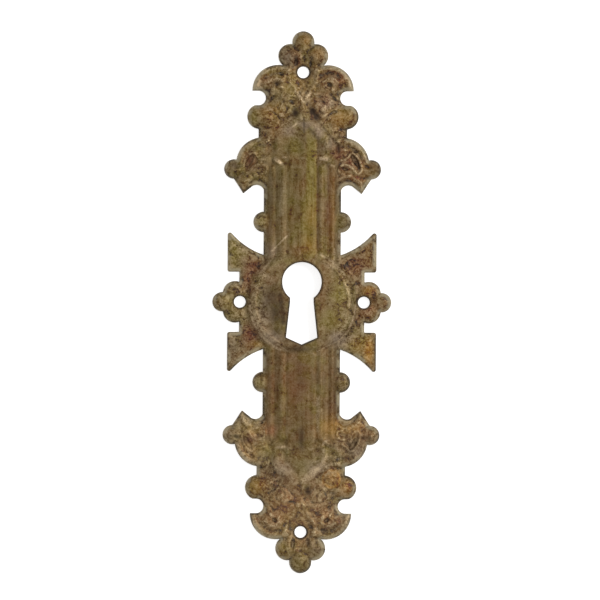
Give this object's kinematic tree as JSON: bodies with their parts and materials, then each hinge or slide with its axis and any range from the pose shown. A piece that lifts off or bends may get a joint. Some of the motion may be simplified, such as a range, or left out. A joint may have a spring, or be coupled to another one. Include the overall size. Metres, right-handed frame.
{
  "type": "keyhole escutcheon",
  "caption": "Pressed brass keyhole plate with a domed boss, reeded shaft, horned wings and leafy Gothic ends, pierced for pins.",
  "frame": {"origin": "centre of the plate's outline, on its flat back", "axes": "+Y up the plate towards the round part of the keyhole, +Z out of its face"},
  "size_m": [0.0322, 0.0974, 0.003],
  "materials": {
    "brass": "aged and tarnished, olive brown with worn golden patches"
  },
  "bodies": {
    "root": {"escutcheon": "brass"}
  },
  "joints": []
}
